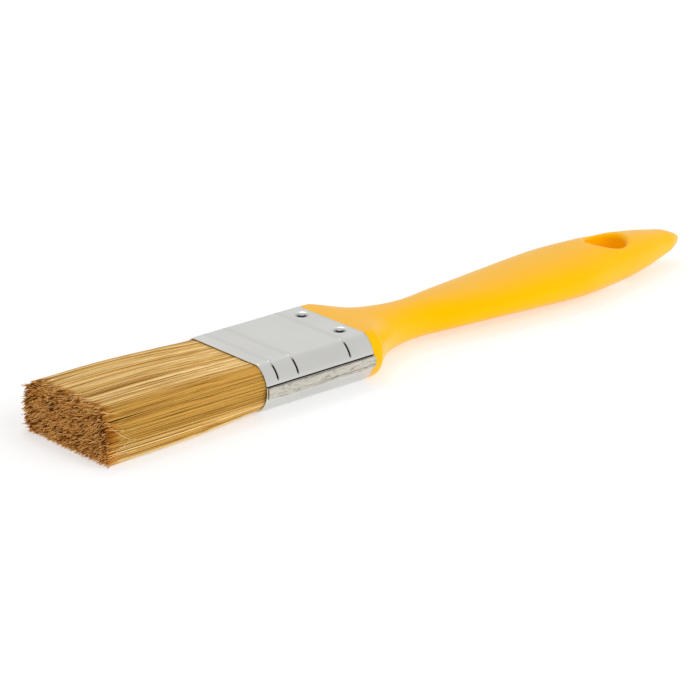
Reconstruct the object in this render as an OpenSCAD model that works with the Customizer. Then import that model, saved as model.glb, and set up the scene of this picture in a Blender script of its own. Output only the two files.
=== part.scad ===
// Flat paint brush, 38 mm wide. Two banks of filament are set in resin round a
// spacer plug inside a seamed tinplate ferrule, and four nails hold the ferrule
// on the tenon of a moulded plastic handle with a hole to hang it by.
// Millimetres. X runs from the filament tips (-) to the handle's tail (+), Y
// across the brush, and Z up from the surface that the brush lies on.

/* [Brush] */
// Width across the ferrule
brush_w = 38; // [34:1:46]
// Thickness of the ferrule
ferrule_t = 14.5; // [14:0.5:16]
// Length of the ferrule
ferrule_l = 40; // [38:1:46]
// Length of filament in front of the ferrule
bristle_l = 57; // [40:1:70]
// Length of the handle behind the ferrule
handle_l = 144; // [130:1:160]

/* [Ferrule] */
// Thickness of the tinplate
sheet_t = 0.35; // [0.3:0.05:0.45]
// Radius of the rounded sides
side_r = 8; // [7.9:0.1:8.5]
// Width of a pressed bead
bead_w = 1.6; // [1:0.1:2]
// Depth of a pressed bead
bead_depth = 0.2; // [0.1:0.05:0.25]
// Width of the folded lock seam
seam_w = 3.4; // [3:0.1:4]
// How far the lock seam stands out from the side
seam_out = 0.9; // [0.6:0.1:1.2]

/* [Nails] */
// Distance of the nails from the ferrule's back edge
nail_back = 4.1; // [4:0.1:5]
// Distance between the two nails of a face
nail_pitch = 16.8; // [15:0.2:18]
// Diameter of a nail's head
nail_head_d = 2.8; // [2.6:0.1:3.6]
// Length of a nail
nail_l = 6; // [5:0.5:6.5]

/* [Bristles] */
// Width of the bristles at the tip
tip_w = 38.8; // [38:0.2:42]
// Height of the tip's upper edge over the surface that the brush lies on
tip_top = 16.1; // [14.5:0.1:17]
// Thickness of the spacer plug between the two banks
plug_t = 3; // [2:0.5:4]
// How far the banks and the plug reach into the ferrule
root_depth = 16; // [14:1:18]
// Length of the resin setting behind the banks
resin_l = 6; // [4:1:7]

/* [Handle] */
// Width of the neck
neck_w = 14.2; // [12:0.2:17]
// Largest width of the grip
grip_w = 27.6; // [24:0.2:30]
// Length of the tenon inside the ferrule
tenon_l = 14; // [12:1:14]
// Diameter of the hanging hole
hole_d = 13; // [10:0.5:13]
// Distance of the hanging hole's centre from the ferrule
hole_at = 112; // [110:1:114]

/* [Hidden] */
$fn = 96;

// How far a cut runs past the face that it opens
past = 1;

// Places along the brush and the height of its axis
total_l = bristle_l + ferrule_l + handle_l;
tip_x = -total_l / 2;
mouth_x = tip_x + bristle_l;
back_x = mouth_x + ferrule_l;
axis_z = ferrule_t / 2;
// Centre of a rounded side, and where it meets the flat face
side_y = brush_w / 2 - side_r;
crease_y = side_y + sqrt(side_r ^ 2 - (ferrule_t / 2) ^ 2);
side_rise = side_r / (ferrule_t / 2);

// What lies inside the ferrule fits between its beads
inner_inset = sheet_t + bead_depth;
bead_places = [4.4, 11.8, 31.3];

// Lock seam: its lower edge from the axis, how deep its back lies in the sheet, its rounding
seam_low = -2;
seam_back = 0.32;
seam_round = 0.5;
crevice_w = 0.3;
crevice_depth = 0.5;

// Nail: sunk head in a pressed dish, shank and point
nail_x = back_x - nail_back;
head_h = 0.5;
shank_r = 0.7;
point_l = 1;
point_r = 0.1;
// Gap round the nail in the sheet and in the tenon, and round the dish in the tenon
sheet_play = 0.1;
nail_play = 0.02;
dish_play = 0.05;
dish_r = 2.6;
dish_rim = 0.15;
dish_floor = 0.35;

// Handle: the shoulder stays full for a short land and then sweeps in to the neck
land_l = 3.4;
neck_at = 30 * handle_l / 144;
shoulder_w = brush_w - 0.3;
shoulder_t = ferrule_t - 0.2;
sweep_power = 2.3;
// Distance from the ferrule and width, from the neck to the tail
handle_widths = [[neck_at, neck_w], [45, 19.4], [65, 24.8], [90, grip_w], [110, 21.6],
                 [125, 15.6], [137, 9.4], [handle_l, 7]];
// Distance from the ferrule and thickness, from the shoulder to the tail
handle_heights = [[0, shoulder_t], [13, 13], [30, 11], [55, 10.8], [90, 13.2], [110, 14],
                  [125, 11.4], [137, 7.4], [handle_l, 5]];
tail_round = 7.5;
// The section is a flat oval up to oval_to, and the grip's own from grip_from on
oval_to = 3;
grip_from = 16;
grip_power = 2.4;
rings_sweep = 14;
rings_grip = 22;
rings_tail = 8;
// Angle of the round tail at which its last small flat stands
tail_end = 80;
handle_sides = 56;
// Pockets in the tenon's front end: place across and width of each, depth and height of all
tenon_pockets = [[-13, 4], [0, 11], [13, 4]];
tenon_pocket_l = 9;
tenon_pocket_h = 8;
// Straight wall of the hanging hole, and the cone that opens it at each face
hole_wall = 10.8;
hole_cone = 2.2;

// Bristle banks: they close over the plug in front of the ferrule
bank_rings = 12;
bank_points = 28;
bank_gap = 0.1;
close_over = 0.2;
flare_rate = 1.2;
foot_gap = 0.05;

// Spacer plug: how far behind the mouth it starts, and its gap at each side
plug_set = 1;
plug_side_gap = 1.5;

// ---- curves ----

function ease(t) = let (u = min(max(t, 0), 1)) u * u * (3 - 2 * u);
function chord(pts, k) = (pts[k + 1][1] - pts[k][1]) / (pts[k + 1][0] - pts[k][0]);
// Slope of a smooth curve at point k: none at the ends and at a high or low point
function slope(pts, k) = k == 0 || k == len(pts) - 1 ? 0
    : let (d0 = chord(pts, k - 1), d1 = chord(pts, k)) d0 * d1 > 0 ? 2 * d0 * d1 / (d0 + d1) : 0;
function span_of(pts, x, k = 0) = k >= len(pts) - 2 || x < pts[k + 1][0] ? k : span_of(pts, x, k + 1);
// Height at x of the smooth curve through a list of [x, height] points
function curve(pts, x) =
    let (k = span_of(pts, x), h = pts[k + 1][0] - pts[k][0], t = (x - pts[k][0]) / h)
    (2 * t ^ 3 - 3 * t ^ 2 + 1) * pts[k][1] + (t ^ 3 - 2 * t ^ 2 + t) * h * slope(pts, k)
    + (3 * t ^ 2 - 2 * t ^ 3) * pts[k + 1][1] + (t ^ 3 - t ^ 2) * h * slope(pts, k + 1);

function mean(pts, k = 0) = k == len(pts) ? [0, 0, 0] : pts[k] / len(pts) + mean(pts, k + 1);

// Closed solid through rings that have the same number of points, each end a fan of triangles
module loft(rings) {
    n = len(rings[0]);
    m = len(rings);
    centres = [mean(rings[0]), mean(rings[m - 1])];
    polyhedron(
        points = concat([for (ring = rings) each ring], centres),
        faces = [
            for (j = [0 : n - 1]) [m * n, (j + 1) % n, j],
            for (j = [0 : n - 1]) [m * n + 1, (m - 1) * n + j, (m - 1) * n + (j + 1) % n],
            for (i = [0 : m - 2], j = [0 : n - 1])
                let (a = i * n + j, b = i * n + (j + 1) % n) each [[a, b, b + n], [a, b + n, a + n]]
        ]
    );
}

// ---- ferrule section ----

// Flat oval of the ferrule, drawn in by an inset: flat faces and rounded sides
module flat_oval(inset) {
    intersection() {
        square([brush_w, ferrule_t - 2 * inset], center = true);
        union() {
            square([2 * side_y, ferrule_t], center = true);
            for (side = [-1, 1]) translate([side * side_y, 0]) circle(r = side_r - inset);
        }
    }
}

// Bar of that section between two places along the brush
module oval_bar(from_x, to_x, inset) {
    translate([from_x, 0, axis_z]) rotate([90, 0, 90]) linear_extrude(to_x - from_x) flat_oval(inset);
}

// Puts its children on one face at a nail's place, with +Z pointing out of the face
module at_nail(side, face) {
    translate([nail_x, side * nail_pitch / 2, axis_z + face * ferrule_t / 2])
        rotate([face > 0 ? 0 : 180, 0, 0]) children();
}

module at_each_nail() {
    for (side = [-1, 1], face = [-1, 1]) at_nail(side, face) children();
}

// Section of the lock seam: a folded strip that stands out from the side
module seam_section() {
    inner = -brush_w / 2 + seam_back;
    outer = -brush_w / 2 - seam_out;
    difference() {
        union() {
            translate([outer + seam_round, seam_low])
                square([inner - outer - seam_round, seam_w]);
            translate([outer, seam_low + seam_round])
                square([seam_round, seam_w - 2 * seam_round]);
            for (z = [seam_low + seam_round, seam_low + seam_w - seam_round])
                translate([outer + seam_round, z]) circle(r = seam_round);
        }
        translate([outer + sheet_t, seam_low + seam_w - crevice_w - sheet_t])
            square([crevice_depth, crevice_w]);
    }
}

module ferrule_wall() {
    beads = [for (b = bead_places) [mouth_x + b - bead_w / 2, mouth_x + b + bead_w / 2]];
    difference() {
        oval_bar(mouth_x, back_x, 0);
        for (b = beads) difference() {
            oval_bar(b[0], b[1], -past);
            oval_bar(b[0] - past, b[1] + past, bead_depth);
        }
        difference() {
            oval_bar(mouth_x - past, back_x + past, sheet_t);
            for (b = beads) difference() {
                oval_bar(b[0], b[1], -past);
                oval_bar(b[0] - past, b[1] + past, inner_inset);
            }
        }
    }
}

// ---- sub-parts ----

module ferrule() {
    color([0.78, 0.79, 0.77]) difference() {
        union() {
            ferrule_wall();
            translate([mouth_x, 0, axis_z]) rotate([90, 0, 90]) linear_extrude(ferrule_l) seam_section();
            at_each_nail() translate([0, 0, -head_h - dish_floor])
                cylinder(r = dish_r + dish_rim, h = head_h + dish_floor);
        }
        at_each_nail() {
            translate([0, 0, -head_h])
                cylinder(r1 = nail_head_d / 2 + sheet_play, r2 = dish_r, h = head_h);
            translate([0, 0, -nail_l]) cylinder(r = shank_r + sheet_play, h = nail_l + past);
        }
    }
}

// Nail with a low domed head, its top flush with the ferrule's face
module nail() {
    head_r = nail_head_d / 2;
    dome_r = (head_r ^ 2 + head_h ^ 2) / (2 * head_h);
    intersection() {
        translate([0, 0, -dome_r]) sphere(r = dome_r);
        translate([0, 0, -head_h]) cylinder(r = head_r, h = head_h);
    }
    translate([0, 0, -nail_l + point_l]) cylinder(r = shank_r, h = nail_l - point_l - head_h);
    translate([0, 0, -nail_l]) cylinder(r1 = point_r, r2 = shank_r, h = point_l);
}

module placed_nail(side, face) {
    color([0.86, 0.86, 0.84]) at_nail(side, face) nail();
}

// Half width and half height of the handle, a distance s behind the ferrule
function tail_cap(s) = sqrt(max(0, 1 - max(0, (s - handle_l + tail_round) / tail_round) ^ 2));
function sweep(s) = (1 - (s - land_l) / (neck_at - land_l)) ^ sweep_power;
function half_w(s) = tail_cap(s) / 2 * (
    s <= land_l ? shoulder_w
    : s < neck_at ? neck_w + (shoulder_w - neck_w) * sweep(s)
    : curve(handle_widths, s));
function half_t(s) = tail_cap(s) / 2 * curve(handle_heights, s);

// Reach of a section at angle t, where an ellipse of the same width and height has 1: the
// ferrule's flat oval, round up to the crease and flat past it, and the rounder grip section
function oval_reach(t) =
    let (a = brush_w / 2, c = ferrule_t / 2, turn = atan2(abs(sin(t)), abs(cos(t))),
         p = (a * cos(t)) ^ 2 + (c * sin(t)) ^ 2, q = 2 * a * abs(cos(t)) * side_y,
         root = max(0, q * q - 4 * p * (side_y ^ 2 - side_r ^ 2)))
    turn < atan2(a, crease_y) ? (q + sqrt(root)) / (2 * p) : 1 / abs(sin(t));
function grip_reach(t) = (abs(cos(t)) ^ grip_power + abs(sin(t)) ^ grip_power) ^ (-1 / grip_power);

function handle_ring(s) =
    let (a = half_w(s), c = half_t(s), w = ease((s - oval_to) / (grip_from - oval_to)))
    [for (j = [0 : handle_sides - 1])
        let (t = 360 * j / handle_sides,
             reach = (1 - w) * oval_reach(t) + w * grip_reach(t))
        [back_x + s, reach * a * cos(t), axis_z + reach * c * sin(t)]];
// The tenon fits the ferrule's beads
function tenon_ring(s) =
    let (a = brush_w / 2 - inner_inset, c = ferrule_t / 2 - inner_inset)
    [for (j = [0 : handle_sides - 1])
        let (t = 360 * j / handle_sides, reach = oval_reach(t))
        [back_x + s, reach * a * cos(t), axis_z + reach * c * sin(t)]];

handle_stops = concat(
    [0],
    [for (i = [0 : rings_sweep]) land_l + (neck_at - land_l) * i / rings_sweep],
    [for (i = [1 : rings_grip]) neck_at + (handle_l - tail_round - neck_at) * i / rings_grip],
    [for (i = [1 : rings_tail]) handle_l - tail_round + tail_round * sin(tail_end * i / rings_tail)]
);

module hole_lip_cut() {
    translate([0, 0, hole_wall / 2])
        cylinder(r1 = hole_d / 2, r2 = hole_d / 2 + hole_cone, h = hole_cone);
}

// Moulded in one piece: tenon, shoulder, neck, grip and tail
module handle() {
    color([0.98, 0.74, 0.02]) difference() {
        loft(concat([tenon_ring(-tenon_l), tenon_ring(0)], [for (s = handle_stops) handle_ring(s)]));
        translate([back_x + hole_at, 0, axis_z]) {
            cylinder(d = hole_d, h = 2 * ferrule_t, center = true);
            hole_lip_cut();
            mirror([0, 0, 1]) hole_lip_cut();
        }
        for (pocket = tenon_pockets)
            translate([back_x - tenon_l + (tenon_pocket_l - past) / 2, pocket[0], axis_z])
                cube([tenon_pocket_l + past, pocket[1], tenon_pocket_h], center = true);
        at_each_nail() {
            translate([0, 0, -head_h - dish_floor - dish_play])
                cylinder(r = dish_r + dish_rim + dish_play, h = 2 * dish_r);
            translate([0, 0, -nail_l + point_l]) cylinder(r = shank_r + nail_play, h = nail_l);
            translate([0, 0, -nail_l]) cylinder(r1 = point_r, r2 = shank_r + nail_play, h = point_l);
        }
    }
}

// Section of one bank: its outer edge follows the flat oval, its inner edge is flat
function bank_reach(half, top, flat) = half - side_r + side_r * sqrt(1 - (flat / top / side_rise) ^ 2);
function bank_edge(y, half, top) =
    let (beyond = max(0, abs(y) - half + side_r))
    top * min(1, side_rise * sqrt(max(0, 1 - (beyond / side_r) ^ 2)));
function bank_ring(x, half, top, flat, face) =
    [for (j = [0 : bank_points - 1])
        let (y = -bank_reach(half, top, flat) * cos(180 * j / (bank_points - 1)))
        [x, face * y, axis_z + face * max(flat, bank_edge(y, half, top))]];

// Upper bank (face = 1) or lower bank (face = -1), from its roots to its tip
module bristle_bank(face) {
    root_top = axis_z - inner_inset;
    root_half = brush_w / 2 - inner_inset;
    tip_height = face > 0 ? tip_top - axis_z : axis_z - foot_gap;
    roots = bank_ring(mouth_x + root_depth, root_half, root_top, plug_t / 2, face);
    in_front = [for (i = [0 : bank_rings])
        let (u = i / bank_rings)
        bank_ring(mouth_x - bristle_l * u,
                  root_half + (tip_w / 2 - root_half) * ease(u * flare_rate),
                  root_top + (tip_height - root_top) * sin(90 * u),
                  bank_gap / 2 + (plug_t - bank_gap) / 2 * (1 - ease(u / close_over)), face)];
    color(face > 0 ? [0.80, 0.62, 0.36] : [0.74, 0.55, 0.29]) loft(concat([roots], in_front));
}

module spacer_plug() {
    plug_w = brush_w - 2 * (inner_inset + plug_side_gap);
    color([0.78, 0.66, 0.48]) translate([mouth_x + plug_set, -plug_w / 2, axis_z - plug_t / 2])
        cube([root_depth - plug_set, plug_w, plug_t]);
}

module resin_setting() {
    color([0.55, 0.38, 0.18])
        oval_bar(mouth_x + root_depth, mouth_x + root_depth + resin_l, inner_inset);
}

handle();
ferrule();
placed_nail(1, 1);  // nail_top_left
placed_nail(-1, 1);  // nail_top_right
placed_nail(1, -1);  // nail_bottom_left
placed_nail(-1, -1);  // nail_bottom_right
bristle_bank(1);  // bristle_bank_upper
bristle_bank(-1);  // bristle_bank_lower
spacer_plug();
resin_setting();
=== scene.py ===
import bmesh
import bpy
import numpy as np
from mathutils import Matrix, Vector


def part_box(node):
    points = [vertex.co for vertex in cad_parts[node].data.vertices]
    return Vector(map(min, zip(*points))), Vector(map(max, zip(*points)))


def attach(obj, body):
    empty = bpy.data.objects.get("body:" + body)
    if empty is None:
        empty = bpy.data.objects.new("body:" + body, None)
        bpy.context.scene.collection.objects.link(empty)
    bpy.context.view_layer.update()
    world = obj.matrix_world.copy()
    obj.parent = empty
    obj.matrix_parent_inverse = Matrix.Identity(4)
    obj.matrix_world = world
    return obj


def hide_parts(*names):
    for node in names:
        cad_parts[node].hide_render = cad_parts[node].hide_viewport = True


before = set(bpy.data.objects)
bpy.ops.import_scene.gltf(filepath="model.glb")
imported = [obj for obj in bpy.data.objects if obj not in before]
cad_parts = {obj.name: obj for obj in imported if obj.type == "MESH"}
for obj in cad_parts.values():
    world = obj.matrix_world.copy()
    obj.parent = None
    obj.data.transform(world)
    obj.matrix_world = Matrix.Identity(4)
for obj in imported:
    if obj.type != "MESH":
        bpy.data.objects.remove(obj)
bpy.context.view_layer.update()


# ---------------------------------------------------------------- handle
# One injection moulding in glossy opaque yellow. A tenon fills the back of the
# ferrule, the shoulder sweeps in to a thin neck, and the tail has a hole to hang
# the brush by, its rim rounded over on both faces.

FERRULE_LOW, FERRULE_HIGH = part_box("ferrule")
MOUTH, BACK = FERRULE_LOW[0] * 1000, FERRULE_HIGH[0] * 1000
AXIS = (FERRULE_LOW[2] + FERRULE_HIGH[2]) * 500
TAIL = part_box("handle")[1][0] * 1000 - BACK
FERRULE_HALF_W = FERRULE_HIGH[1] * 1000
FERRULE_HALF_T = AXIS
SIDE_R = 8.0


def build_piece(name, points, face_groups, marks=None):
    """A smooth-shaded mesh object from points in millimetres and arrays of quads or triangles.

    marks, where given, holds two numbers for each point and becomes the UV map of that name.
    """
    loops = np.concatenate([np.asarray(group).ravel() for group in face_groups]).astype(np.int32)
    sizes = np.concatenate([np.full(len(group), np.shape(group)[1]) for group in face_groups])
    mesh = bpy.data.meshes.new(name)
    mesh.vertices.add(len(points))
    mesh.vertices.foreach_set("co", (np.asarray(points, dtype=float) * 0.001).ravel())
    mesh.loops.add(len(loops))
    mesh.loops.foreach_set("vertex_index", loops)
    mesh.polygons.add(len(sizes))
    mesh.polygons.foreach_set("loop_start", np.concatenate([[0], np.cumsum(sizes)[:-1]]).astype(np.int32))
    if marks is not None:
        layer = mesh.uv_layers.new(name="marks")
        layer.data.foreach_set("uv", np.asarray(marks, dtype=float)[loops].ravel())
    mesh.update(calc_edges=True)
    mesh.validate()
    mesh.polygons.foreach_set("use_smooth", np.ones(len(mesh.polygons), dtype=bool))
    piece = bpy.data.objects.new(name, mesh)
    bpy.context.scene.collection.objects.link(piece)
    return piece


def grid_quads(rows, columns, first=0, closed=True):
    """Quads between neighbouring points of a grid laid out row by row; closed joins its last column
    to its first."""
    index = first + np.arange(rows * columns).reshape(rows, columns)
    after = np.roll(index, -1, axis=1)
    if not closed:
        index, after = index[:, :-1], after[:, :-1]
    return np.stack([index[:-1], after[:-1], after[1:], index[1:]], axis=-1).reshape(-1, 4)


def fan(centre, ring):
    """Triangles from one centre point to each side of a closed ring of points."""
    return np.stack([np.full(len(ring), centre), ring, np.roll(ring, -1)], axis=-1)


def smooth_curve(stations, x):
    """Cubic curve through (place, height) stations. Its slope at a station is the harmonic mean of
    the two chords beside it, and none where the curve turns."""
    place, height = np.array(stations, dtype=float).T
    step = np.diff(place)
    chord = np.diff(height) / step
    slope = np.zeros(len(place))
    same_way = chord[:-1] * chord[1:] > 0
    slope[1:-1][same_way] = (2 * chord[:-1] * chord[1:])[same_way] / (chord[:-1] + chord[1:])[same_way]
    k = np.clip(np.searchsorted(place, x, side="right") - 1, 0, len(step) - 1)
    h = step[k]
    t = (x - place[k]) / h
    return ((2 * t**3 - 3 * t**2 + 1) * height[k] + (t**3 - 2 * t**2 + t) * h * slope[k]
            + (3 * t**2 - 2 * t**3) * height[k + 1] + (t**3 - t**2) * h * slope[k + 1])


def ease(t):
    """Smooth step from 0 to 1 while t goes from 0 to 1."""
    t = np.clip(t, 0, 1)
    return t * t * (3 - 2 * t)


CREASE_Y = FERRULE_HALF_W - SIDE_R + np.sqrt(SIDE_R**2 - FERRULE_HALF_T**2)
CREASE_ANGLE = np.arctan2(1, CREASE_Y / FERRULE_HALF_W)


def oval_reach(angle):
    """Distance to the ferrule's flat oval, over the distance to the ellipse of the same width and
    height, at that ellipse's angle: the round side up to the crease, and the flat face past it."""
    c, s = np.abs(np.cos(angle)), np.maximum(np.abs(np.sin(angle)), 1e-6)
    centre = FERRULE_HALF_W - SIDE_R
    p = (FERRULE_HALF_W * c) ** 2 + (FERRULE_HALF_T * s) ** 2
    q = 2 * FERRULE_HALF_W * c * centre
    root = q * q - 4 * p * (centre**2 - SIDE_R**2)
    side = (q + np.sqrt(np.maximum(root, 0))) / (2 * p)
    return np.where(np.arctan2(s, c) < CREASE_ANGLE + 1e-9, side, 1 / s)


GRIP_POWER, SWEEP_POWER = 2.4, 2.3
SHOULDER_LAND, NECK_AT, TAIL_ROUND = 3.4, 30.0, 7.5
SHOULDER_W, NECK_W = 2 * FERRULE_HALF_W - 0.3, 14.2
WIDTHS = [(NECK_AT, NECK_W), (45, 19.4), (65, 24.8), (90, 27.6),
          (110, 21.6), (125, 15.6), (137, 9.4), (144, 7)]
THICKNESSES = [(0, 14.3), (13, 13), (30, 11), (55, 10.8), (90, 13.2),
               (110, 14), (125, 11.4), (137, 7.4), (144, 5)]


def half_width(s):
    """Half the handle's width a distance s behind the ferrule: a short land, then a sweep in to the
    neck by the sweep's power, then the curve through the grip's stations, closed by a quarter ellipse."""
    past = s - SHOULDER_LAND
    u = (np.sqrt(past**2 + 0.1) + past) / 2 / (NECK_AT - SHOULDER_LAND)
    sweep = NECK_W + (SHOULDER_W - NECK_W) * np.clip(1 - u, 0, 1) ** SWEEP_POWER
    grip = smooth_curve(WIDTHS, np.maximum(s, NECK_AT))
    return np.where(s < NECK_AT, sweep, grip) / 2 * tail_cap(s)


def half_thickness(s):
    """Half the handle's thickness a distance s behind the ferrule."""
    return smooth_curve(THICKNESSES, np.maximum(s, 0)) / 2 * tail_cap(s)


def tail_cap(s):
    """Quarter ellipse that rounds off the last stretch of the tail."""
    return np.sqrt(np.clip(1 - (np.clip(s - TAIL + TAIL_ROUND, 0, None) / TAIL_ROUND) ** 2, 0, 1))


QUARTER = np.concatenate([np.linspace(0, CREASE_ANGLE, 25)[:-1], np.linspace(CREASE_ANGLE, np.pi / 2, 25)])
ROUND = np.concatenate([QUARTER[:-1], np.pi - QUARTER[:0:-1]])
ROUND = np.concatenate([ROUND, ROUND + np.pi])
HANDLE_SIDES = len(ROUND)
OVAL_TO, GRIP_FROM = 3.0, 16.0
HOLE_AT, HOLE_R, HOLE_LIP = 112.0, 6.5, 1.9
PATCH_HALF, PATCH_EDGE, PATCH_STEPS = 12.5, 15, 12


def handle_rings(s):
    """Rings of the handle at distances s: each is a blend of the flat oval and the rounder grip
    section, |y|^p + |z|^p = 1, scaled to the half width and half thickness there."""
    grip = (np.abs(np.cos(ROUND)) ** GRIP_POWER + np.abs(np.sin(ROUND)) ** GRIP_POWER) ** (-1 / GRIP_POWER)
    w = ease((s - OVAL_TO) / (GRIP_FROM - OVAL_TO))[:, None]
    reach = (1 - w) * oval_reach(ROUND)[None, :] + w * grip[None, :]
    y = half_width(s)[:, None] * reach * np.cos(ROUND)
    z = half_thickness(s)[:, None] * reach * np.sin(ROUND)
    return np.stack([np.broadcast_to(BACK + s[:, None], y.shape), y, AXIS + z], axis=-1)


def hole_patch(loop, side):
    """The face round the hanging hole: rays run from the bore to a closed loop of points on the
    handle, and each point takes the height of the grip's section at its place. Over the last
    stretch before the bore it drops by a quarter circle, which rounds the rim."""
    x, y = loop[:, 0] - BACK - HOLE_AT, loop[:, 1]
    bearing, edge = np.arctan2(y, x), np.hypot(x, y)
    lip = HOLE_R + HOLE_LIP * (1 - np.cos(np.linspace(0, np.pi / 2, PATCH_STEPS)))[:, None]
    outer = HOLE_R + HOLE_LIP + (edge - HOLE_R - HOLE_LIP) * np.linspace(0, 1, PATCH_STEPS)[1:, None]
    r = np.concatenate([np.broadcast_to(lip, (PATCH_STEPS, len(edge))), outer])
    px, py = HOLE_AT + r * np.cos(bearing), r * np.sin(bearing)
    a, c = half_width(px), half_thickness(px)
    rise = c * np.clip(1 - (np.abs(py) / a) ** GRIP_POWER, 0, 1) ** (1 / GRIP_POWER)
    inward = np.clip((HOLE_R + HOLE_LIP - r) / HOLE_LIP, 0, 1)
    rise -= HOLE_LIP * (1 - np.sqrt(1 - inward**2))
    return np.stack([BACK + px, py, AXIS + side * rise], axis=-1)


stations = np.concatenate([
    np.linspace(0, 8, 54)[:-1],
    np.linspace(8, HOLE_AT - PATCH_HALF, 112)[:-1],
    np.linspace(HOLE_AT - PATCH_HALF, HOLE_AT + PATCH_HALF, 49),
    np.linspace(HOLE_AT + PATCH_HALF, TAIL - TAIL_ROUND, 16)[1:-1],
    TAIL - TAIL_ROUND + TAIL_ROUND * np.sin(np.linspace(0, np.pi / 2, 26))[:-1],
])
patch_rows = np.flatnonzero(np.abs(stations - HOLE_AT) <= PATCH_HALF + 1e-6)

# The tenon: three rings ahead of the shoulder, the first one drawn in a little
TENON_L, TENON_INSET = 14.0, 0.75
tenon = np.stack([np.zeros(HANDLE_SIDES),
                  (FERRULE_HALF_W - TENON_INSET) * oval_reach(ROUND) * np.cos(ROUND),
                  (FERRULE_HALF_T - TENON_INSET) * oval_reach(ROUND) * np.sin(ROUND)], axis=-1)
tenon_end = np.array([BACK - TENON_L, 0, AXIS])
tenon_rings = [tenon * [1, 0.985, 0.96] + tenon_end, tenon + tenon_end + [0.5, 0, 0],
               tenon + [BACK, 0, AXIS]]
rings = np.concatenate([tenon_rings, handle_rings(stations)])
patch_rows = patch_rows + len(tenon_rings)

points = [rings.reshape(-1, 3), [tenon_end, [BACK + TAIL, 0, AXIS]]]
count = len(points[0])
quads = grid_quads(len(rings), HANDLE_SIDES).reshape(len(rings) - 1, HANDLE_SIDES, 4)
kept = np.ones(quads.shape[:2], dtype=bool)
top_columns = np.arange(PATCH_EDGE, HANDLE_SIDES // 2 - PATCH_EDGE)
for columns in (top_columns, top_columns + HANDLE_SIDES // 2):
    kept[np.ix_(patch_rows[:-1], columns)] = False
faces = [quads[kept], fan(count, np.arange(HANDLE_SIDES))[:, ::-1],
         fan(count + 1, count - HANDLE_SIDES + np.arange(HANDLE_SIDES))]
used = count + 2
rims = []
for side, columns in ((1, top_columns), (-1, HANDLE_SIDES // 2 + top_columns)):
    edge = np.append(columns, columns[-1] + 1)
    first, last = patch_rows[0], patch_rows[-1]
    loop = np.concatenate([rings[first, edge[:-1]], rings[patch_rows[:-1], edge[-1]],
                           rings[last, edge[:0:-1]], rings[patch_rows[:0:-1], edge[0]]])
    patch = hole_patch(loop, side)
    faces.append(grid_quads(patch.shape[0], patch.shape[1], used))
    points.append(patch.reshape(-1, 3))
    rims.append(patch[0])
    used += patch.shape[0] * patch.shape[1]

# The bore's wall joins the two rims, point to point where they have the same bearing
upper, lower = [rim[np.argsort(np.arctan2(rim[:, 1], rim[:, 0] - BACK - HOLE_AT))][None] for rim in rims]
levels = np.linspace(0, 1, 9)[:, None, None]
wall = upper * (1 - levels) + lower * levels
faces.append(grid_quads(wall.shape[0], wall.shape[1], used))
points.append(wall.reshape(-1, 3))

handle = build_piece("handle_moulding", np.concatenate(points), faces)


def tidy_mesh(piece, gap=0.00001):
    """Merges the points where two grids meet, and turns every face outwards."""
    work = bmesh.new()
    work.from_mesh(piece.data)
    bmesh.ops.remove_doubles(work, verts=work.verts, dist=gap)
    bmesh.ops.recalc_face_normals(work, faces=work.faces)
    work.to_mesh(piece.data)
    work.free()
    piece.data.polygons.foreach_set("use_smooth", np.ones(len(piece.data.polygons), dtype=bool))


tidy_mesh(handle)


def new_material(name, **settings):
    """A node material and its Principled shader, with constants set on the shader's own sockets."""
    material = bpy.data.materials.new(name)
    material.use_nodes = True
    shader = material.node_tree.nodes["Principled BSDF"]
    for socket, value in settings.items():
        shader.inputs[socket.replace("_", " ")].default_value = value
    return material, shader


def node(material, kind, inputs=(), **settings):
    """Adds a node, sets its properties, and links or sets its inputs: (socket, source or value)."""
    made = material.node_tree.nodes.new(kind)
    for key, value in settings.items():
        setattr(made, key, value)
    for socket, source in inputs:
        if isinstance(source, bpy.types.NodeSocket):
            material.node_tree.links.new(source, made.inputs[socket])
        else:
            made.inputs[socket].default_value = source
    return made


def ramp(material, source, stops):
    """Colour that a value gives, from a list of (value, colour)."""
    made = node(material, "ShaderNodeValToRGB", [("Fac", source)])
    while len(made.color_ramp.elements) < len(stops):
        made.color_ramp.elements.new(0.5)
    for element, (place, colour) in zip(made.color_ramp.elements, stops):
        element.position = place
        element.color = (*colour, 1)
    return made.outputs["Color"]


def noise(material, place, scale, detail, distortion=0.0):
    """Cloudy noise over a place, between 0 and 1."""
    made = node(material, "ShaderNodeTexNoise", [
        ("Vector", place), ("Scale", scale), ("Detail", detail), ("Distortion", distortion)])
    return made.outputs["Fac"]


def stretched(material, place, scale):
    """A place drawn out or squeezed along each axis, for streaks."""
    return node(material, "ShaderNodeMapping", [("Vector", place), ("Scale", scale)]).outputs["Vector"]


def between(material, share, low, high):
    """A value from low to high as share goes from 0 to 1."""
    return node(material, "ShaderNodeMapRange", [
        ("Value", share), ("To Min", low), ("To Max", high)]).outputs["Result"]


def bump(material, height, strength, distance):
    """Normals tilted by a height."""
    return node(material, "ShaderNodeBump", [
        ("Strength", strength), ("Distance", distance), ("Height", height)]).outputs["Normal"]


def connect(material, shader, **sources):
    """Links what the pattern works out to the shader's sockets."""
    for socket, source in sources.items():
        material.node_tree.links.new(source, shader.inputs[socket.replace("_", " ")])


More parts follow.
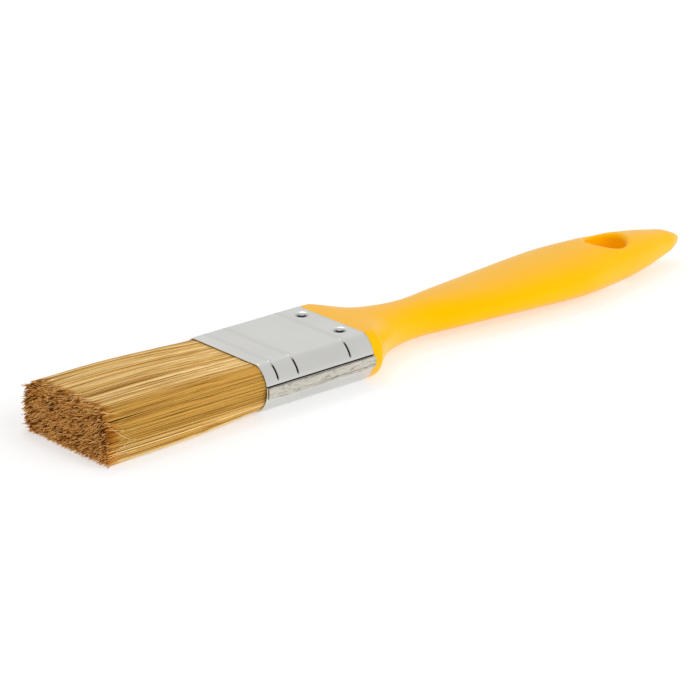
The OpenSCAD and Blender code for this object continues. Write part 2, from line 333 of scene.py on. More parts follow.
plastic, shader = new_material(
    "yellow_plastic", Base_Color=(1.0, 0.5, 0.0, 1), Specular_IOR_Level=0.62,
    Specular_Tint=(1.0, 0.55, 0.0, 1), Subsurface_Weight=0.1, Subsurface_Radius=(1.0, 0.5, 0.1),
    Subsurface_Scale=0.002)
place = node(plastic, "ShaderNodeTexCoord").outputs["Object"]
flow = ramp(plastic, noise(plastic, place, 55.0, 3.0), [(0.3, (1.0, 0.49, 0.0)), (0.7, (1.0, 0.51, 0.0))])
handling = between(plastic, noise(plastic, place, 240.0, 5.0), 0.26, 0.36)
peel = bump(plastic, noise(plastic, place, 900.0, 2.0), 0.12, 0.0001)
connect(plastic, shader, Base_Color=flow, Roughness=handling, Normal=peel)
handle.data.materials.append(plastic)
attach(handle, "root")
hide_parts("handle")


# ---------------------------------------------------------------- ferrule
# One strip of tinplate 0.35 mm thick, wrapped into a flat oval and closed by a
# lock seam along one side. Three beads are pressed in across it, with a short
# sharp notch where each one crosses a corner, and four dishes take the nails.

SHEET = 0.35
SOFT_CREASE, OUTLINE_POINTS, CREASE_POINTS = 0.28, 2400, 60
BEADS = (4.4, 11.8, 31.3)
LENGTH = BACK - MOUTH
NAIL_AT, NAIL_Y = LENGTH - 4.1, 8.4
SEAM_TOP, SEAM_FOOT = 1.4, -2.1
rng = np.random.default_rng(38)


def flat_oval():
    """Closed outline of the ferrule as dense points, evenly spaced, and its length: flat faces and
    round sides, with each crease softened by averaging along the outline over about a millimetre."""
    crease = np.arcsin(FERRULE_HALF_T / SIDE_R)
    centre = FERRULE_HALF_W - SIDE_R
    edge = centre + SIDE_R * np.cos(crease)
    turn = np.linspace(-crease, crease, 400)
    right = np.stack([centre + SIDE_R * np.cos(turn), SIDE_R * np.sin(turn)], axis=-1)
    top = np.stack([np.linspace(edge, -edge, 640)[1:-1], np.full(638, FERRULE_HALF_T)], axis=-1)
    outline = np.concatenate([right, top, -right, -top])
    closed = np.vstack([outline, outline[:1]])
    along = np.concatenate([[0], np.cumsum(np.linalg.norm(np.diff(closed, axis=0), axis=1))])
    even = np.linspace(0, along[-1], OUTLINE_POINTS, endpoint=False)
    outline = np.stack([np.interp(even, along, closed[:, k]) for k in (0, 1)], axis=-1)
    apart = np.arange(-CREASE_POINTS, CREASE_POINTS + 1) * along[-1] / OUTLINE_POINTS
    spread = np.exp(-0.5 * (apart / SOFT_CREASE) ** 2)
    spread /= spread.sum()
    wrapped = np.concatenate([outline[-CREASE_POINTS:], outline, outline[:CREASE_POINTS]])
    return np.stack([np.convolve(wrapped[:, k], spread, "valid") for k in (0, 1)], axis=-1), along[-1]


outline, girth = flat_oval()
tangent = np.roll(outline, -1, axis=0) - np.roll(outline, 1, axis=0)
tangent /= np.linalg.norm(tangent, axis=1, keepdims=True)
outward = np.stack([tangent[:, 1], -tangent[:, 0]], axis=-1)


def crowded(low, high, spacing, centres, near, fine):
    """Places from low to high that stand spacing apart, and closer, fine apart, within near of a
    centre."""
    at, places = low, [low]
    while at < high - fine:
        at += fine if min(abs(at - c) for c in centres) < near else spacing
        places.append(min(at, high))
    return np.array(places)


rows = crowded(0, LENGTH, 0.45, BEADS, 0.95, 0.09)
rows = np.unique(np.round(np.concatenate([rows, np.arange(NAIL_AT - 3, NAIL_AT + 3, 0.2)]), 3))
rows = rows[np.append(np.diff(rows) > 0.04, True)]

# Places round the outline: even spacing, closer at the nails and in the crevice over the seam
at_y, at_z = outline.T
seam_gap = np.flatnonzero((at_y < 0) & (np.abs(at_z - SEAM_TOP - 0.25) < 0.9))
nail_band = np.flatnonzero((np.abs(np.abs(at_y) - NAIL_Y) < 3) & (np.abs(at_z) > 7))
columns = np.unique(np.concatenate([np.arange(0, OUTLINE_POINTS, 9), seam_gap, nail_band[::5]]))
wall_y, wall_z = outline[columns].T
wall_out = outward[columns]


def bell(offset, size, power=2):
    """Smooth bump, exp(-|offset / size|^power / 2): 1 at the middle, and squarer as the power grows."""
    return np.exp(-0.5 * (offset / size) ** power)


# Direction, along and across the brush, on whose side of each nail the painted shade is heaviest
SHADE_SIDE_X, SHADE_SIDE_Y = -0.66, -0.75


def press(x, y, z):
    """Depth of the pressed marks in the sheet, inwards, and how dark they are painted: a shallow groove for
    each bead, a narrow notch where it crosses a corner, a dish at each nail, and the crevice that
    runs along the seam's upper edge. Notches, crevice and the dishes' rims are painted black as shade,
    and faint shade lines are painted beside the beads."""
    depth = np.zeros(np.broadcast(x, y).shape)
    painted_shade = np.zeros_like(depth)
    high = np.abs(z)
    on_face, on_corner = high > 7, ease((7.3 - high) / 0.6) * ease((high - 2.4) / 0.9) * ((y > 0) | (z > 0))
    for bead in BEADS:
        depth += 0.035 * bell(x - bead, 0.4) * on_face
        # Painted shade: a faint dark line at each edge of the bead, on the faces
        painted_shade += 0.14 * bell(np.abs(x - bead) - 0.5, 0.17) * on_face
        depth += 0.35 * on_corner * bell(x - bead, 0.17)
        depth -= 0.06 * on_corner * bell(x - bead - 0.7, 0.3)
        depth -= 0.16 * bell(np.hypot(x - bead + 0.1, high - 7.1), 0.25) * (np.abs(y) > 12)
        # Painted shade: the notch is black
        painted_shade += on_corner * ease((7.0 - high) / 0.9) * bell(x - bead, 0.27, 4)
    for side in (-1, 1):
        away_x, away_y = x - NAIL_AT, y - side * NAIL_Y
        away = np.hypot(away_x, away_y)
        depth += 0.26 * ease((2.7 - away) / 0.9) * (high > 6)
        # Painted shade round the dish's rim, heaviest on one side
        toward_shade = 0.5 + 0.5 * (away_x * SHADE_SIDE_X + away_y * SHADE_SIDE_Y) / (away + 0.1)
        painted_shade += (0.25 + 0.9 * toward_shade**2) * bell(away - 1.5, 0.36, 4) * (high > 6)
    # The sides are painted a little darker than the faces as shade, and more so below the seam
    painted_shade += 0.06 * ease((7.3 - high) / 0.8) + 0.08 * ease((-1.5 - z) / 2) * ease((7.9 + z) / 0.5)
    # The crevice over the seam, pressed in and painted black as shade
    gap = np.abs(z - SEAM_TOP - 0.15) / 0.15
    depth += 0.3 * ease((1.35 - gap) / 0.7) * (y < 0)
    painted_shade += ease((1.6 - gap) / 0.5) * (y < 0)
    return depth, np.clip(painted_shade, 0, 1)


def waviness(x, u, count, size, depth):
    """Low dents and swells at random places: the sum of round bumps of either sign."""
    total = np.zeros(np.broadcast(x, u).shape)
    places = rng.uniform(0, LENGTH, count), rng.uniform(0, girth, count), rng.normal(0, 1, count)
    for at, around, way in zip(*places):
        apart = (u - around + girth / 2) % girth - girth / 2
        total += way * depth * bell(np.hypot(x - at, apart), size)
    return total


x = rows[:, None]
around = columns[None, :] * girth / OUTLINE_POINTS
depth, painted_shade = press(x, wall_y[None, :], wall_z[None, :])
depth = depth + waviness(x, around, 26, 5.0, 0.018) + waviness(x, around, 40, 1.6, 0.006)
to_edge = np.minimum(rows, LENGTH - rows)[:, None]
depth = depth + 0.12 * np.exp(-to_edge / 0.12)
outer = np.stack([np.broadcast_to(MOUTH + x, depth.shape),
                  wall_y - wall_out[:, 0] * depth,
                  np.maximum(AXIS + wall_z - wall_out[:, 1] * depth, 0)], axis=-1)
inner_rows = np.arange(0, len(rows), 6)
inner_rows = np.append(inner_rows[inner_rows < len(rows) - 1], len(rows) - 1)
inner_depth = np.minimum(depth[inner_rows], 0.3) + SHEET
inner = np.stack([np.broadcast_to(MOUTH + x[inner_rows], inner_depth.shape),
                  wall_y - wall_out[:, 0] * inner_depth,
                  AXIS + wall_z - wall_out[:, 1] * inner_depth], axis=-1)
n = len(columns)
inner_first = outer.shape[0] * n
outer_last, inner_last = inner_first - n, inner_first + (inner.shape[0] - 1) * n
ring, after = np.arange(n), np.roll(np.arange(n), -1)
mouth_edge = np.stack([ring + inner_first, after + inner_first, after, ring], axis=-1)
back_edge = np.stack([ring + outer_last, after + outer_last, after + inner_last, ring + inner_last], axis=-1)
sheet_faces = [grid_quads(outer.shape[0], n), grid_quads(inner.shape[0], n, inner_first)[:, ::-1],
               mouth_edge, back_edge]
sheet_points = np.concatenate([outer.reshape(-1, 3), inner.reshape(-1, 3)])
sheet_marks = np.zeros((len(sheet_points), 2))
# The sheet's marks carry the painted shade
sheet_marks[:painted_shade.size, 0] = painted_shade.ravel()


def seam_layer(low, high, back, face, start, stop, dents):
    """One layer of the folded seam: a strip with a rounded section, its face pressed flat, swept
    along the ferrule. Small dents and a slow wander keep it from being perfectly straight. A fine
    dark line is painted along its lower half, darker towards the back."""
    round_r = min(0.17, (face - back) / 2.01)
    corners = [(face - round_r, high - round_r), (back + round_r, high - round_r),
               (back + round_r, low + round_r), (face - round_r, low + round_r)]
    turns = [np.linspace(0, np.pi / 2, 6) + k * np.pi / 2 for k in range(4)]
    rounded = [np.stack([cy + round_r * np.cos(turn), cz + round_r * np.sin(turn)], axis=-1)
               for (cy, cz), turn in zip(corners, turns)]
    straight = np.linspace(low + round_r, high - round_r, 32)[1:-1]
    across, up = np.concatenate(rounded + [np.stack([np.full(30, face), straight], axis=-1)]).T
    s = np.linspace(start, stop, 150)[:, None]
    out = np.broadcast_to(across, (150, len(across))).copy()
    for at, height, size, deep in dents:
        out -= (across > back + 0.1) * deep * bell(np.hypot(s - at, up - height), size)
    bow = 0.5 * up**2 / (SIDE_R + 1)
    wander = 0.05 * np.sin(s / 5.3 + 1) + 0.03 * np.sin(s / 1.9)
    strip = np.stack([np.broadcast_to(MOUTH + s, out.shape),
                      -(FERRULE_HALF_W + out - bow), AXIS + up + wander], axis=-1)
    dark_line = 0.55 * bell(up + 1.15, 0.11) * ease((s - 12) / 10)
    return strip, dark_line


dents = [(rng.uniform(8, 38), rng.uniform(-1.4, 1.0), rng.uniform(0.25, 0.6), rng.normal(0, 0.05))
         for _ in range(26)]
OUTER_LAYER = (SEAM_FOOT, SEAM_TOP, 0.48, 0.88, 0.0, LENGTH - 0.1)
INNER_LAYER = (SEAM_FOOT + 0.1, SEAM_TOP - 0.15, -0.1, 0.44, 0.12, LENGTH - 0.2)
pieces_points, pieces_faces, pieces_marks = [sheet_points], list(sheet_faces), [sheet_marks]
used = len(sheet_points)
for layer in (OUTER_LAYER, INNER_LAYER):
    strip, dark_line = seam_layer(*layer, dents)
    side_n = strip.shape[1]
    pieces_points += [strip.reshape(-1, 3), strip[0].mean(axis=0)[None], strip[-1].mean(axis=0)[None]]
    body = used + np.arange(side_n)
    pieces_faces += [grid_quads(strip.shape[0], side_n, used),
                     fan(used + strip.shape[0] * side_n, body)[:, ::-1],
                     fan(used + strip.shape[0] * side_n + 1, body + (strip.shape[0] - 1) * side_n)]
    pieces_marks.append(np.stack([np.append(dark_line.ravel(), [0, 0]), np.ones(dark_line.size + 2)], axis=-1))
    used += strip.shape[0] * side_n + 2
ferrule = build_piece("ferrule_tinplate", np.concatenate(pieces_points), pieces_faces,
                      np.concatenate(pieces_marks))
tidy_mesh(ferrule, gap=0.000001)


def mixed(material, share, first, second, blend_type="MIX"):
    """Two colours blended by a share."""
    return node(material, "ShaderNodeMix", [("Factor", share), (6, first), (7, second)],
                data_type="RGBA", blend_type=blend_type).outputs[2]


def piece_marks(material):
    """The two numbers that the piece's own map holds for each point."""
    marks = node(material, "ShaderNodeUVMap", uv_map="marks").outputs["UV"]
    parts = node(material, "ShaderNodeSeparateXYZ", [("Vector", marks)])
    return parts.outputs["X"], parts.outputs["Y"]


# Tin plate is bright and cloudy, with the mill's fine lines along it. The seam's outer layer is
# scuffed and speckled, and the grooves and crevices are painted nearly black as shade.
tin, shader = new_material("tinplate", Base_Color=(0.80, 0.80, 0.78, 1), Metallic=1.0)
place = node(tin, "ShaderNodeTexCoord").outputs["Object"]
grain = noise(tin, stretched(tin, place, (40, 900, 900)), 4.0, 6.0)
cloudy = ramp(tin, noise(tin, place, 60.0, 4.0), [(0.3, (0.79, 0.785, 0.755)), (0.7, (0.84, 0.835, 0.805))])
painted_dark, on_seam = piece_marks(tin)
scuffed = ramp(tin, noise(tin, stretched(tin, place, (500, 2200, 2200)), 1.0, 4.0), [
    (0.34, (0.34, 0.31, 0.26)), (0.42, (0.56, 0.53, 0.46)), (0.65, (0.66, 0.63, 0.56))])
worn = mixed(tin, on_seam, cloudy, scuffed)
# Painted shade: nearly black where the piece's marks say
tin_painted_dark = mixed(tin, painted_dark, worn, (0.015, 0.014, 0.012, 1))
satin = between(tin, grain, 0.26, 0.42)
dull = node(tin, "ShaderNodeMath", [(0, satin), (1, painted_dark)], operation="MAXIMUM").outputs["Value"]
connect(tin, shader, Base_Color=tin_painted_dark, Roughness=dull, Normal=bump(tin, grain, 0.08, 0.00005))
ferrule.data.materials.append(tin)
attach(ferrule, "root")
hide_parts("ferrule")


# ---------------------------------------------------------------- nails
# Four bright steel pins with domed heads, driven through the ferrule into the
# handle's tenon, two on each face. Each head sits down in its pressed dish.

HEAD_R, DOME, SHANK_R, NAIL_L, NAIL_SIDES = 1.4, 0.34, 0.70, 6.0, 48
dome_r = np.linspace(0, HEAD_R, 8)
NAIL_PROFILE = [*zip(dome_r, -DOME * (dome_r / HEAD_R) ** 2), (1.36, -0.42), (0.8, -0.45),
                (SHANK_R, -0.55), (SHANK_R, 1 - NAIL_L), (0.0, -NAIL_L)]

bright, shader = new_material("nail_steel", Metallic=1.0)
place = node(bright, "ShaderNodeTexCoord").outputs["Object"]
painted_dark, _ = piece_marks(bright)
# Steel, nearly black where the heads' rims carry painted shade and a dark reflection
steel = ramp(bright, painted_dark, [
    (0.0, (0.62, 0.62, 0.60)), (0.25, (0.4, 0.4, 0.39)), (0.6, (0.012, 0.01, 0.009))])
polish = between(bright, noise(bright, place, 1500.0, 3.0), 0.12, 0.25)
connect(bright, shader, Base_Color=steel, Roughness=polish)


def nail(name, side, face):
    """The pin's profile, radius against height, turned about its own axis at the nail's place. The
    head's rim is painted black as shade and a dark reflection, ease((r - 0.6) / 0.4), mostly on its
    side towards the filaments and the seam."""
    radius, height = np.array(NAIL_PROFILE).T
    ring = np.arange(NAIL_SIDES)
    turn = 2 * np.pi * ring / NAIL_SIDES
    ring_r, ring_z = radius[1:-1, None], height[1:-1, None]
    y, z = side * NAIL_Y + ring_r * np.sin(turn), AXIS + face * (FERRULE_HALF_T + ring_z)
    body = np.stack([MOUTH + NAIL_AT + ring_r * np.cos(turn), y, np.broadcast_to(z, y.shape)], axis=-1)
    tips = [[MOUTH + NAIL_AT, side * NAIL_Y, AXIS + face * (FERRULE_HALF_T + height[k])] for k in (0, -1)]
    # Painted shade and dark reflection on the rim, heaviest on one side
    toward_shade = 0.5 + 0.5 * (SHADE_SIDE_X * np.cos(turn) + SHADE_SIDE_Y * np.sin(turn))
    painted_dark_rim = np.append((ease((ring_r - 0.6) / 0.4) * toward_shade**1.2).ravel(), [0, 0])
    total = y.size
    piece = build_piece(name, np.concatenate([body.reshape(-1, 3), tips]),
                        [grid_quads(len(ring_r), NAIL_SIDES), fan(total, ring),
                         fan(total + 1, total - NAIL_SIDES + ring)], np.stack([painted_dark_rim, painted_dark_rim], axis=-1))
    tidy_mesh(piece)
    piece.data.materials.append(bright)
    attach(piece, "root")
    return piece


for level, face in (("top", 1), ("bottom", -1)):
    for hand, side in (("left", 1), ("right", -1)):
        pin = nail(f"pin_{level}_{hand}", side, face)
        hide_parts(f"nail_{level}_{hand}")


# ---------------------------------------------------------------- bristles
# Nearly 9000 tapered filaments in two banks, above and below the spacer plug. They
# leave the ferrule tightly packed, close over the plug's gap and fan out a little
# to a blunt tip with rounded corners, where the ends stand in tufts and tangle.

FILAMENT_R = 0.125
UPPER_LOW, UPPER_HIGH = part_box("bristle_bank_upper")
BRISTLE_L = MOUTH - UPPER_LOW[0] * 1000
TIP_TOP, TIP_FOOT = UPPER_HIGH[2] * 1000 - 0.2, 0.2
TIP_HALF_W, TIP_HALF_T = UPPER_HIGH[1] * 1000 - 0.15, (TIP_TOP - TIP_FOOT) / 2
TOP_CORNER, FAR_FOOT_CORNER, NEAR_FOOT_CORNER = 6.8, 4.0, 1.5
ROOT_GAP = 0.66
ROOT_HALF_W, ROOT_HALF_T = FERRULE_HALF_W - ROOT_GAP, FERRULE_HALF_T - ROOT_GAP
ROOT_SIDE_R = SIDE_R - ROOT_GAP
rng = np.random.default_rng(57)


def tip_corner(y, z):
    """Radius of the tip's corner nearest each point, wider at the top."""
    return np.where(z > 0, TOP_CORNER, np.where(y > 0, FAR_FOOT_CORNER, NEAR_FOOT_CORNER))


def tip_height(y, z):
    """Height of the tip's edge over its middle, above or below as z is: flat faces with a quarter
    circle at each corner."""
    corner = tip_corner(y, z)
    past = np.clip(np.abs(y) - TIP_HALF_W + corner, 0, corner)
    return TIP_HALF_T - corner + np.sqrt(corner**2 - past**2)


def root_height(y):
    """Half the height of the section at the ferrule's mouth at y: a flat oval."""
    past = np.clip(np.abs(y) - ROOT_HALF_W + ROOT_SIDE_R, 0, ROOT_SIDE_R)
    return np.minimum(ROOT_HALF_T, np.sqrt(ROOT_SIDE_R**2 - past**2))


def edge_reach(y, z, half_w, half_t, corner):
    """How far the edge of a rounded oblong lies from its centre in the direction of each point: to a
    flat face, half_t / |sin|, to a side, half_w / |cos|, or to the corner's circle between them.
    A corner wider than half the thickness has its centre on the axis, and the flat faces cut it."""
    size = np.hypot(y, z) + 1e-6
    across, up = np.abs(y) / size + 1e-9, np.abs(z) / size + 1e-9
    centre_z = np.maximum(half_t - corner, 0)
    along = (half_w - corner) * across + centre_z * up
    aside = np.clip(corner**2 - (half_w - corner) ** 2 - centre_z**2 + along**2, 0, None)
    reach = np.minimum(along + np.sqrt(aside), half_t / up)
    reach = np.where(half_t / up * across < half_w - corner, half_t / up, reach)
    return np.where(half_w / across * up < centre_z, half_w / across, reach)


def scatter_filaments(spacing):
    """Places of the tips across their section, evenly thick on the ground but in no order: each is
    pushed off a point of a plain grid. Also how deep under the section's edge each one lies."""
    y, z = np.meshgrid(np.arange(-TIP_HALF_W, TIP_HALF_W, spacing),
                       np.arange(-TIP_HALF_T, TIP_HALF_T, spacing * 0.866))
    y = y.ravel() + rng.uniform(-0.5, 0.5, y.size) * spacing
    z = z.ravel() + rng.uniform(-0.5, 0.5, z.size) * spacing
    deep = np.minimum(tip_height(y, z) - np.abs(z), TIP_HALF_W - np.abs(y))
    keep = deep > 0
    return y[keep], z[keep], deep[keep]


def gather(y, z, cell, pull):
    """Moves points towards the middle of the loose cell that they fall in, so that they stand in
    tufts, and says which cell each one is in."""
    centres_y = rng.uniform(-TIP_HALF_W, TIP_HALF_W, int(4 * TIP_HALF_W * TIP_HALF_T / cell**2))
    centres_z = rng.uniform(-TIP_HALF_T, TIP_HALF_T, len(centres_y))
    nearest = np.empty(len(y), dtype=int)
    for part in np.array_split(np.arange(len(y)), 40):
        nearest[part] = ((y[part, None] - centres_y) ** 2 + (z[part, None] - centres_z) ** 2).argmin(axis=1)
    return (centres_y[nearest] - y) * pull, (centres_z[nearest] - z) * pull, nearest


tip_y, tip_z, tip_deep = scatter_filaments(0.275)
tuft_y, tuft_z, tuft = gather(tip_y, tip_z, 1.0, 0.74)
lock_y, lock_z, _ = gather(tip_y, tip_z, 1.7, 0.10)
TUFT_SHORT = 2.4
tuft_short = rng.uniform(0, TUFT_SHORT, tuft.max() + 1)
# How dark each tuft's tips are: partly their own brown, partly painted shade, most in the shorter tufts
tuft_brown_and_shade = 0.5 * tuft_short / TUFT_SHORT + 0.5 * rng.uniform(0, 1, tuft.max() + 1)


def filaments(chosen, steps):
    """Centre lines of the chosen filaments, root to tip, closer in steps near the tip. Each keeps its
    bearing and its share of the way to the edge, so that the section turns from the mouth's flat
    oval into the tip's. Near the end they draw together in tufts, each bends a little in its own
    way, and the last few millimetres fray. A few loose ones stray well out of line."""
    number = len(chosen)
    y1, z1, deep = tip_y[chosen, None], tip_z[chosen, None], tip_deep[chosen, None]
    shrink = (edge_reach(y1, z1, ROOT_HALF_W, ROOT_HALF_T, ROOT_SIDE_R)
              / edge_reach(y1, z1, TIP_HALF_W, TIP_HALF_T, tip_corner(y1, z1)))
    y0, z0 = y1 * shrink, z1 * shrink
    gap = 1.5 * ease((17.5 - np.abs(y0)) / 3.0)
    z0 = np.sign(z0) * (gap + np.abs(z0) * (1 - gap / np.maximum(root_height(y0), 2)))
    rim = np.clip(1 - deep / 2.6, 0, 1)
    upper_rim = np.clip((z1 + 1) / TIP_HALF_T, 0, 1) * np.clip(1 - (TIP_HALF_T - z1) / 3.2, 0, 1)
    loose = rng.uniform(size=(number, 1)) < 0.13 * (1 - 0.6 * rim)
    cut = (BRISTLE_L + 0.2 + 0.5 * loose - 0.5 * rim**2 - 3.0 * upper_rim**1.5
           - (0.28 - 0.16 * rim) * np.abs(rng.normal(0, 1, (number, 1))))
    cut -= tuft_short[tuft[chosen], None] * (1 - rim) ** 2 * (1 - 0.7 * loose)
    cut -= (rng.uniform(size=(number, 1)) < 0.08 * (1 - rim)) * rng.uniform(0.4, 2.0, (number, 1))
    u = 1 - np.linspace(1, 0, steps + 1)[None, :] ** 1.5
    x = 3.0 - (cut + 3.0) * u
    front = np.clip(-x / BRISTLE_L, 0, 1)
    middle = (TIP_TOP + TIP_FOOT) / 2 - AXIS
    spread = np.sin(np.clip(front * 1.3, 0, 1) * np.pi / 2)
    y = y0 + (y1 - y0) * spread
    z = z0 + (z1 + middle - z0) * spread
    tufted, locked = front**5 * (1 - 0.85 * rim), ease(front * 1.6)
    y = y + tuft_y[chosen, None] * tufted + lock_y[chosen, None] * locked
    z = z + tuft_z[chosen, None] * tufted + lock_z[chosen, None] * locked
    bend, phase = rng.normal(0, 0.06, (2, number, 1)), rng.uniform(0, 2 * np.pi, (2, number, 1))
    y = y + bend[0] * np.sin(front * 5 + phase[0]) * ease(front * 4)
    z = z + bend[1] * np.sin(front * 5 + phase[1]) * ease(front * 4)
    fray = np.clip((front - 0.88) / 0.12, 0, 1) ** 1.8
    reach = np.where(loose, 1.7 * (1 - 0.6 * rim), 0.25)
    y = y + reach * rng.normal(0, 1, (number, 1)) * fray
    z = z + reach * rng.normal(0, 1, (number, 1)) * fray
    stray = (rng.uniform(size=(number, 1)) < 0.03) & (y1 < -17.5)
    z = z + stray * rng.normal(0, 3.0, (number, 1)) * np.clip((front - 0.82) / 0.18, 0, 1) ** 1.3
    y = np.where(stray, np.sign(y1) * (np.abs(y) + 0.5 * np.clip((front - 0.8) / 0.1, 0, 1)), y)
    y = np.clip(y, -TIP_HALF_W - 0.3, TIP_HALF_W + 0.3)
    z = np.clip(z, TIP_FOOT - AXIS, TIP_TOP - AXIS + 0.2)
    # Painted shade: filaments on the flanks take a darker tone, and those on the top and low down a lighter
    # one
    flank_shade = np.clip((np.abs(y1) - 13) / 3, 0, 1) * np.clip((z1 + 6) / 5, 0, 1)
    shade = rng.uniform(size=(number, 1))
    tone = np.where(stray, 0.9, np.where(shade < 0.08, shade, shade * (1 - 0.6 * flank_shade) + 0.2 * (1 - flank_shade)))
    # Tips darken, partly their own brown and partly painted shade: most in short tufts, least at the rim
    tip_brown_and_shade = ease((0.8 * tuft_brown_and_shade[tuft[chosen], None] + 0.2 * rng.uniform(size=(number, 1)) - 0.2) / 0.5)
    tone = tone + (0.96 - tone) * loose * ease((front - 0.9) / 0.06)
    tip_brown_and_shade = np.where(loose | stray, 0.1 + 0.2 * shade, 0.2 * (1 - rim) + 0.8 * tip_brown_and_shade * (1 - 0.6 * rim))
    # Near black at the root as painted shade, and darker at the tip, partly the filaments' own brown and
    # partly painted shade
    end_shade_and_brown = np.where(front > 0.9, 0.9 + (front - 0.9) * tip_brown_and_shade, front)
    return np.stack([MOUTH + x, y, AXIS + z], axis=-1), front, tone, end_shade_and_brown, np.where(loose, 1.7, 1.0)


def tube_set(name, sides, lines, front, tone, end_shade_and_brown, stout):
    """Closed thin tubes along centre lines, all in one mesh. Each is round the line by a radius that
    tapers towards the tip. Its tone and how dark its ends are painted go into its marks."""
    number, count, _ = lines.shape
    turn = 2 * np.pi * (np.arange(sides) + 0.5) / sides + rng.uniform(0, np.pi, (number, 1))
    radius = FILAMENT_R * stout * rng.normal(1, 0.1, (number, 1)) * (1 - 0.3 * front**3)
    radius[:, -1] *= 0.7
    around = np.stack([np.zeros_like(turn), np.cos(turn), np.sin(turn)], axis=-1)
    points = lines[:, :, None, :] + radius[:, :, None, None] * around[:, None, :, :]
    index = np.arange(number * count * sides).reshape(number, count, sides)
    after = np.roll(index, -1, axis=2)
    walls = np.stack([index[:, :-1], index[:, 1:], after[:, 1:], after[:, :-1]], axis=-1).reshape(-1, 4)
    ends = np.concatenate([index[:, 0], index[:, -1, ::-1]])
    marks = np.stack([np.broadcast_to(tone[:, :, None], index.shape),
                      np.broadcast_to(end_shade_and_brown[:, :, None], index.shape)], axis=-1).reshape(-1, 2)
    return build_piece(name, points.reshape(-1, 3), [walls, ends], marks)


filament, shader = new_material("filament", Roughness=0.5, Specular_IOR_Level=0.22,
                                Specular_Tint=(1.0, 0.8, 0.55, 1))
place = node(filament, "ShaderNodeTexCoord").outputs["Object"]
tone, end_shade_and_brown = piece_marks(filament)
golden = ramp(filament, tone, [
    (0.0, (0.30, 0.12, 0.02)), (0.08, (0.56, 0.30, 0.05)), (0.4, (0.68, 0.40, 0.09)),
    (0.8, (0.77, 0.52, 0.20)), (1.0, (0.95, 0.72, 0.36))])
mottle = noise(filament, stretched(filament, place, (14, 1500, 1500)), 1.0, 4.0)
streak = ramp(filament, mottle, [(0.34, (0.66, 0.52, 0.36)), (0.45, (1, 1, 1))])
# The roots are painted near black as shade where they leave the ferrule; the tips darken, partly their own
# brown and partly painted shade
tips = ramp(filament, end_shade_and_brown, [
    (0.0, (0.02, 0.012, 0.005)), (0.012, (0.02, 0.012, 0.005)), (0.03, (1, 1, 1)), (0.9, (1, 1, 1)),
    (0.92, (0.90, 0.62, 0.32)), (0.95, (0.52, 0.24, 0.06)), (0.98, (0.10, 0.03, 0.006)),
    (1.0, (0.05, 0.014, 0.003))])
streaked = mixed(filament, 1.0, golden, streak, "MULTIPLY")
connect(filament, shader, Base_Color=mixed(filament, 1.0, streaked, tips, "MULTIPLY"))

# Filaments nearer the outside than this are rounder and bend in more steps
SKIN = 0.8
for bank, above in (("upper", True), ("lower", False)):
    in_bank = (tip_z >= 0) == above
    for layer, sides, steps, members in (("skin", 6, 12, in_bank & (tip_deep < SKIN)),
                                         ("core", 4, 5, in_bank & (tip_deep >= SKIN))):
        piece = tube_set(f"filaments_{bank}_{layer}", sides, *filaments(np.flatnonzero(members), steps))
        piece.data.materials.append(filament)
        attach(piece, "root")
        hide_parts(f"bristle_bank_{bank}")


# ---------------------------------------------------------------- spacer plug
# A sawn softwood strip between the banks. It parts them and leaves a space that
# holds paint. It stands inside the ferrule, behind the front filaments.

timber, shader = new_material("plug_timber", Roughness=0.7)
place = node(timber, "ShaderNodeTexCoord").outputs["Object"]
growth = noise(timber, stretched(timber, place, (300, 40, 300)), 3.0, 5.0)
wood = ramp(timber, growth, [(0.35, (0.42, 0.26, 0.12)), (0.65, (0.68, 0.49, 0.28))])
connect(timber, shader, Base_Color=wood)
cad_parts["spacer_plug"].data.materials.clear()
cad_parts["spacer_plug"].data.materials.append(timber)


# ---------------------------------------------------------------- resin setting
# A cast block of amber resin behind the banks and the plug. It is poured in from
# the back of the ferrule and holds the butt ends of the filaments.

amber, shader = new_material("amber_resin", Roughness=0.25)
place = node(amber, "ShaderNodeTexCoord").outputs["Object"]
swirl = noise(amber, place, 180.0, 4.0, distortion=1.5)
cast = ramp(amber, swirl, [(0.3, (0.20, 0.09, 0.02)), (0.7, (0.42, 0.23, 0.07))])
connect(amber, shader, Base_Color=cast)
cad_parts["resin_setting"].data.materials.clear()
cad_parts["resin_setting"].data.materials.append(amber)


# ---------------------------------------------------------------- table, light and camera
# A pale table top under a soft white tent, with a lamp over and behind the brush
# and a wide fill in front of it.

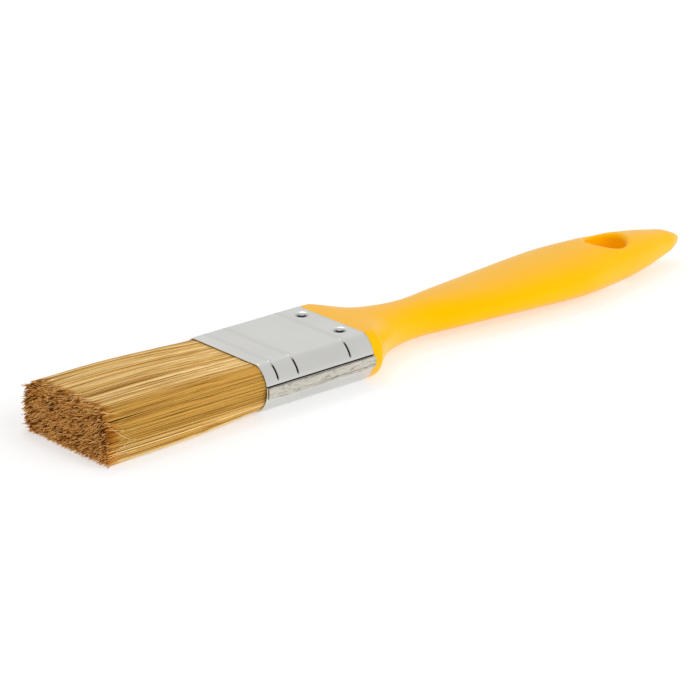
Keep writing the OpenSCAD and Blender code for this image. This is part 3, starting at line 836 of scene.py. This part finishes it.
TABLE_REACH, TABLE_Z = 6000.0, -0.05
corners = np.array([[-1, -1], [1, -1], [1, 1], [-1, 1]]) * TABLE_REACH
table = build_piece("table_top", np.insert(corners, 2, TABLE_Z, axis=1), [np.array([[0, 1, 2, 3]])])
pale, _ = new_material("pale_table", Base_Color=(0.6, 0.6, 0.6, 1), Roughness=0.7,
                       Specular_IOR_Level=0.1, Emission_Color=(1, 1, 1, 1), Emission_Strength=0.45)
table.data.materials.append(pale)

scene = bpy.context.scene
scene.view_settings.view_transform = "Standard"
tent = bpy.data.worlds.new("tent")
tent.use_nodes = True
tent.node_tree.nodes["Background"].inputs["Color"].default_value = (1, 1, 1, 1)
tent.node_tree.nodes["Background"].inputs["Strength"].default_value = 0.74
scene.world = tent


def lamp(name, place, size, power):
    """A square area lamp at a place, turned to face the brush."""
    data = bpy.data.lights.new(name, "AREA")
    data.shape = "SQUARE"
    data.size = size
    data.energy = power
    made = bpy.data.objects.new(name, data)
    made.location = place
    made.rotation_euler = (-Vector(place)).to_track_quat("-Z", "Y").to_euler()
    scene.collection.objects.link(made)
    return made


# The fill gives no reflections, as a wide bounced light wouldn't
lamp("rear_key", (0.2, 0.45, 1.2), 0.35, 1.6)
lamp("front_fill", (0.35, -1.2, 0.75), 1.0, 8.0).visible_glossy = False

azimuth, elevation, distance = np.radians(-41.12), np.radians(20.74), 1.0228
right = np.array([np.cos(azimuth), np.sin(azimuth), 0])
back = np.array([np.sin(azimuth) * np.cos(elevation), -np.cos(azimuth) * np.cos(elevation),
                 np.sin(elevation)])
aim = np.array([MOUTH, 0, AXIS]) * 0.001 + 0.03499 * right + 0.00761 * np.cross(back, right)
camera = bpy.data.objects.new("camera", bpy.data.cameras.new("camera"))
camera.data.sensor_width = 36
camera.data.lens = 186.2
camera.data.clip_start = 0.05
camera.data.clip_end = 50
camera.location = aim + distance * back
camera.rotation_euler = Vector(-back).to_track_quat("-Z", "Y").to_euler()
scene.collection.objects.link(camera)
scene.camera = camera
